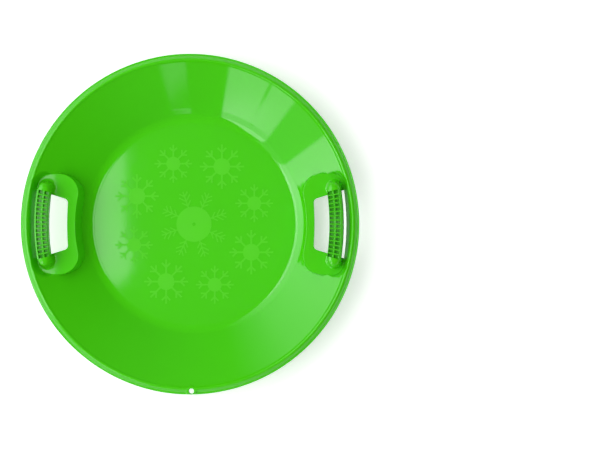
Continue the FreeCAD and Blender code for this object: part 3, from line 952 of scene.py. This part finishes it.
def camera():
    """The photograph's view: nearly straight down, the saucer left of the middle."""
    rim_middle = Vector((0, 0, CAMERA_RIM_Z))
    eye = rim_middle + Vector((math.sin(CAMERA_LEAN), 0, math.cos(CAMERA_LEAN))) * CAMERA_DISTANCE
    turn = CAMERA_LEAN - math.atan2(PHOTO_WIDTH_PX / 2 - RIM_MIDDLE_PX, FOCAL_PX)
    aim_x = eye.x - CAMERA_DISTANCE * math.cos(CAMERA_LEAN) * math.tan(turn)
    ahead = (Vector((aim_x, CAMERA_AIM_Y, CAMERA_RIM_Z)) - eye).normalized()
    above = (Vector((0, 1, 0)) - ahead * ahead.y).normalized()
    across = ahead.cross(above)
    data = bpy.data.cameras.new("camera")
    data.sensor_width = SENSOR_WIDTH
    data.lens = FOCAL_PX / PHOTO_WIDTH_PX * SENSOR_WIDTH
    data.clip_end = CAMERA_SIGHT
    item = bpy.data.objects.new("camera", data)
    item.location = eye * MM
    item.rotation_euler = Matrix((across, above, -ahead)).transposed().to_euler()
    bpy.context.scene.collection.objects.link(item)
    bpy.context.scene.camera = item


# Area lights that face down, in metres, with their middle, size, shape and radiance. The flat floor mirrors
# the first and the last of them.
OVERHEAD_HEIGHT = 1.0
OVERHEADS = {
    "overhead": ((-0.3045, 0.051), (0.081, 0.242), "RECTANGLE", 3.2),
    "overhead_edge": ((-0.4295, 0.03), (0.061, 0.5), "RECTANGLE", 3.0),
    "overhead_lobe": ((-0.296, -0.075), (0.097, 0.115), "ELLIPSE", 3.2),
}

# The soft light that all rays but mirror-like ones meet: lobes with their azimuth, height and radiance, and
# an even rest. Directions are degrees everywhere, azimuth from +X towards +Y and height over the horizon.
SOFT_LOBES = [(180, 58, 2.95), (90, 22, 1.0), (-90, 22, 1.0), (0, 35, 0.7)]
SOFT_LOBE_FADE = (40, 15)
SOFT_REST = 0.06

# The panels that mirror-like rays meet. A pair is where an edge is dark and where it is lit. The left panel
# has the height of its top and its radiance at each azimuth.
LEFT_START, LEFT_END = (112, 118), (210, 208.5)
LEFT_TOP = [(112, 30), (118, 42), (127, 54), (136, 60), (145, 65), (155, 69), (165, 72), (196, 72),
            (204, 65), (209, 55)]
LEFT_TOP_FADE = (-2, 3)
LEFT_LIGHT = [(112, 0.05), (118, 0.2), (127, 0.8), (136, 1.6), (145, 2.0), (155, 2.5), (171, 2.8),
              (180, 3.1), (187, 3.6), (196, 4.2), (206, 3.6)]
LEFT_FOOT_SHARE, LEFT_FOOT_FADE = 0.75, (10, 35)

# Between the left panel and the one with the slit
BETWEEN_START, BETWEEN_END, BETWEEN_TOP = (208.5, 210), (224.5, 223), (66, 56)
BETWEEN_LIGHT, BETWEEN_MORE, BETWEEN_FOOT_FADE = 0.45, 0.25, (9, 30)

# The panel with the slit, its falling top, and the brighter strips along its foot and over it
SLIT_PANEL_START, SLIT_PANEL_END = (223, 224.5), (249.5, 248)
SLIT_PANEL_TOP, SLIT_PANEL_FALL, SLIT_PANEL_FALL_START, SLIT_PANEL_TOP_FADE = 45, 1.75, 232, (-2, 2)
SLIT_PANEL_LIGHT = 1.9
HIGH_STRIP_LIGHT, HIGH_STRIP_FADE = 2.0, (13, 18)
FOOT_STRIP_START = 228
FOOT_STRIP_TOP, FOOT_STRIP_RISE, FOOT_STRIP_FADE = 10.95, 0.087, (-0.15, 0.35)
FOOT_STRIP_LIGHT, FOOT_STRIP_MORE = 0.8, 0.06
SLIT_AZIMUTH, SLIT_SIDE_FADE, SLIT_FOOT, SLIT_TOP = 233.5, (0.9, 0.4), (11.3, 11.45), (12.2, 12.0)

# The small panel at the back, whose foot slants
SMALL_START, SMALL_END, SMALL_TOP, SMALL_LIGHT = (263.5, 265), (275, 272), (17, 16), 1.1
SMALL_MIDDLE, SMALL_FOOT, SMALL_FOOT_SLANT, SMALL_FOOT_FADE = 269, 15.3, 0.075, (-0.05, 0.1)

# The dim rest, brighter away from +X, and the light from above, by how far a ray leans over and aside
REST_LIGHT, REST_MORE, REST_FADE = 0.01, 0.12, (15, 95)
ABOVE_START, ABOVE_END, ABOVE_RISE, ABOVE_LIGHT = (-0.050, -0.045), (0.15, 0.13), (0.5, 0.6), 3.0
ABOVE_HALF_WIDTH, ABOVE_WIDENS, ABOVE_SIDE_FADE = 0.088, 0.35, (-0.005, 0.005)
LEAST_RISE = 0.1


class Sky:
    """The world's light, put together from sums and products of values that depend on direction."""

    def __init__(self, tree):
        self.tree = tree
        self.direction = add_node(tree, "TexCoord").outputs["Generated"]
        self.x, self.y, self.z = add_node(tree, "SeparateXYZ", {0: self.direction}).outputs
        degrees = 180 / math.pi
        turn = self.product(self.maths("ARCTAN2", self.y, self.x), degrees)
        self.azimuth = self.maths("MODULO", self.total(turn, 360), 360)
        self.height = self.product(self.maths("ARCSINE", self.z), degrees)

    def maths(self, operation, *items):
        return add_node(self.tree, "Math", dict(enumerate(items)), operation=operation).outputs[0]

    def product(self, first, *others):
        for other in others:
            first = self.maths("MULTIPLY", first, other)
        return first

    def total(self, first, *others):
        for other in others:
            first = self.maths("ADD", first, other)
        return first

    def less(self, first, second):
        return self.maths("SUBTRACT", first, second)

    def step(self, item, dark, lit):
        """0 on the dark side of an edge and 1 on its lit side."""
        return add_node(self.tree, "MapRange", {
            "Value": item, "From Min": min(dark, lit), "From Max": max(dark, lit),
            "To Min": float(dark > lit), "To Max": float(dark < lit)},
            interpolation_type="SMOOTHSTEP").outputs["Result"]

    def table(self, rows, scale):
        """A value against azimuth, in straight runs between the rows."""
        node = add_node(self.tree, "FloatCurve", {"Value": self.maths("DIVIDE", self.azimuth, 360)})
        points = node.mapping.curves[0].points
        points[0].location = (0, rows[0][1] / scale)
        points[1].location = (1, rows[-1][1] / scale)
        for turn, item in rows:
            points.new(turn / 360, item / scale)
        for point in points:
            point.handle_type = "VECTOR"
        node.mapping.update()
        return self.product(node.outputs["Value"], scale)

    def lobe(self, azimuth, height, radiance):
        """A round soft light about one direction."""
        azimuth, height = math.radians(azimuth), math.radians(height)
        middle = (math.cos(azimuth) * math.cos(height), math.sin(azimuth) * math.cos(height), math.sin(height))
        near = add_node(self.tree, "VectorMath", {0: self.direction, 1: middle}, operation="DOT_PRODUCT")
        fade = [math.cos(math.radians(angle)) for angle in SOFT_LOBE_FADE]
        return self.product(self.step(near.outputs["Value"], *fade), radiance)


def left_panel(sky):
    top = sky.table(LEFT_TOP, 100)
    foot = sky.total(LEFT_FOOT_SHARE, sky.product(sky.step(sky.height, *LEFT_FOOT_FADE), 1 - LEFT_FOOT_SHARE))
    return sky.product(sky.step(sky.less(top, sky.height), *LEFT_TOP_FADE), sky.step(sky.azimuth, *LEFT_START),
                       sky.step(sky.azimuth, *LEFT_END), sky.table(LEFT_LIGHT, 10), foot)


def between_panels(sky):
    light = sky.total(BETWEEN_LIGHT, sky.product(sky.step(sky.height, *BETWEEN_FOOT_FADE), BETWEEN_MORE))
    return sky.product(sky.step(sky.azimuth, *BETWEEN_START), sky.step(sky.azimuth, *BETWEEN_END),
                       sky.step(sky.height, *BETWEEN_TOP), light)


def slit_panel(sky):
    past = sky.maths("MAXIMUM", sky.less(sky.azimuth, SLIT_PANEL_FALL_START), 0)
    top = sky.less(SLIT_PANEL_TOP, sky.product(past, SLIT_PANEL_FALL))
    along = sky.less(sky.azimuth, FOOT_STRIP_START)
    strip_top = sky.total(sky.product(along, FOOT_STRIP_RISE), FOOT_STRIP_TOP)
    foot_strip = sky.product(sky.step(sky.less(strip_top, sky.height), *FOOT_STRIP_FADE),
                             sky.total(sky.product(along, FOOT_STRIP_MORE), FOOT_STRIP_LIGHT))
    high_strip = sky.product(sky.step(sky.height, *HIGH_STRIP_FADE), HIGH_STRIP_LIGHT)
    aside = sky.maths("ABSOLUTE", sky.less(sky.azimuth, SLIT_AZIMUTH))
    slit = sky.product(sky.step(aside, *SLIT_SIDE_FADE), sky.step(sky.height, *SLIT_FOOT),
                       sky.step(sky.height, *SLIT_TOP))
    return sky.product(sky.step(sky.azimuth, *SLIT_PANEL_START), sky.step(sky.azimuth, *SLIT_PANEL_END),
                       sky.step(sky.less(top, sky.height), *SLIT_PANEL_TOP_FADE),
                       sky.total(high_strip, foot_strip, SLIT_PANEL_LIGHT), sky.less(1, slit))


def small_panel(sky):
    slant = sky.product(sky.less(sky.azimuth, SMALL_MIDDLE), SMALL_FOOT_SLANT)
    over_foot = sky.less(sky.height, sky.total(slant, SMALL_FOOT))
    return sky.product(sky.step(sky.azimuth, *SMALL_START), sky.step(sky.azimuth, *SMALL_END),
                       sky.step(over_foot, *SMALL_FOOT_FADE), sky.step(sky.height, *SMALL_TOP), SMALL_LIGHT)


def dim_rest(sky):
    turned = sky.maths("MODULO", sky.total(sky.azimuth, 180), 360)
    aside = sky.maths("ABSOLUTE", sky.less(turned, 180))
    return sky.total(REST_LIGHT, sky.product(sky.step(aside, *REST_FADE), REST_MORE))


def above_light(sky):
    rise = sky.maths("MAXIMUM", sky.z, LEAST_RISE)
    over = sky.maths("DIVIDE", sky.x, rise)
    aside = sky.maths("ABSOLUTE", sky.maths("DIVIDE", sky.y, rise))
    half_width = sky.total(ABOVE_HALF_WIDTH, sky.product(over, ABOVE_WIDENS))
    return sky.product(sky.step(over, *ABOVE_START), sky.step(over, *ABOVE_END), sky.step(sky.z, *ABOVE_RISE),
                       sky.step(sky.less(half_width, aside), *ABOVE_SIDE_FADE), ABOVE_LIGHT)


def studio():
    """The world's light: panels for mirror-like rays, soft light for all others."""
    world = bpy.data.worlds.new("studio")
    bpy.context.scene.world = world
    world.use_nodes = True
    sky = Sky(world.node_tree)
    panels = sky.total(left_panel(sky), slit_panel(sky), between_panels(sky), small_panel(sky), dim_rest(sky),
                       above_light(sky))
    soft = sky.total(*[sky.lobe(*lobe) for lobe in SOFT_LOBES], SOFT_REST)
    mirror_like = add_node(sky.tree, "LightPath").outputs["Is Glossy Ray"]
    strength = sky.total(soft, sky.product(sky.less(panels, soft), mirror_like))
    set_inputs(sky.tree, sky.tree.nodes["Background"], {"Color": (1, 1, 1, 1), "Strength": strength})


def overhead(name, place, size, shape, radiance):
    data = bpy.data.lights.new(name, "AREA")
    data.shape = shape
    data.size, data.size_y = size
    area = size[0] * size[1] * (1 if shape == "RECTANGLE" else math.pi / 4)
    data.energy = radiance * math.pi * area
    item = bpy.data.objects.new(name, data)
    item.location = (*place, OVERHEAD_HEIGHT)
    bpy.context.scene.collection.objects.link(item)


# The ground, in metres. It glows a little to the camera, so that it looks white and keeps the shadow.
GROUND_HALF = 12.0
GROUND_COLOUR = (0.95, 0.95, 0.95, 1)
GROUND_ROUGHNESS = 0.9
GROUND_SPECULAR = 0.1
GROUND_GLOW = 0.42


def ground():
    mesh = bpy.data.meshes.new("ground")
    corners = [(x * GROUND_HALF, y * GROUND_HALF, 0) for x, y in ((-1, -1), (1, -1), (1, 1), (-1, 1))]
    mesh.from_pydata(corners, [], [(0, 1, 2, 3)])
    floor = bpy.data.objects.new("ground", mesh)
    bpy.context.scene.collection.objects.link(floor)
    material = bpy.data.materials.new("white_ground")
    material.use_nodes = True
    tree = material.node_tree
    seen = add_node(tree, "LightPath").outputs["Is Camera Ray"]
    glow = add_node(tree, "Math", {0: seen, 1: GROUND_GLOW}, operation="MULTIPLY")
    set_inputs(tree, tree.nodes["Principled BSDF"], {
        "Base Color": GROUND_COLOUR, "Roughness": GROUND_ROUGHNESS, "Specular IOR Level": GROUND_SPECULAR,
        "Emission Color": (1, 1, 1, 1), "Emission Strength": glow.outputs[0]})
    mesh.materials.append(material)


def dress(piece, material, slot, *nodes):
    piece.data.materials.append(material)
    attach(piece, "root")
    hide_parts(*nodes)


def paint(item, material):
    """Gives a CAD node a material of its own."""
    item.data.materials.clear()
    item.data.materials.append(material)


bpy.context.scene.view_settings.view_transform = "Standard"
camera()
studio()
for name, settings in OVERHEADS.items():
    overhead(name, *settings)
ground()

for node, piece in saucer_pieces().items():
    dress(piece, moulding, "moulding", node)

for name, side in (("right", 1), ("left", -1)):
    dress(grip_trough(name + "_grip_trough", side), grip_green, "grip", name + "_grip_bar")
    dress(grip_lattice(name + "_grip_lattice", side), grip_green, "grip", name + "_grip_ribs")

for node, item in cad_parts.items():
    if "snowflake" in node:
        paint(item, frost_green)
    if node == "moulding_gate":
        paint(item, moulding)
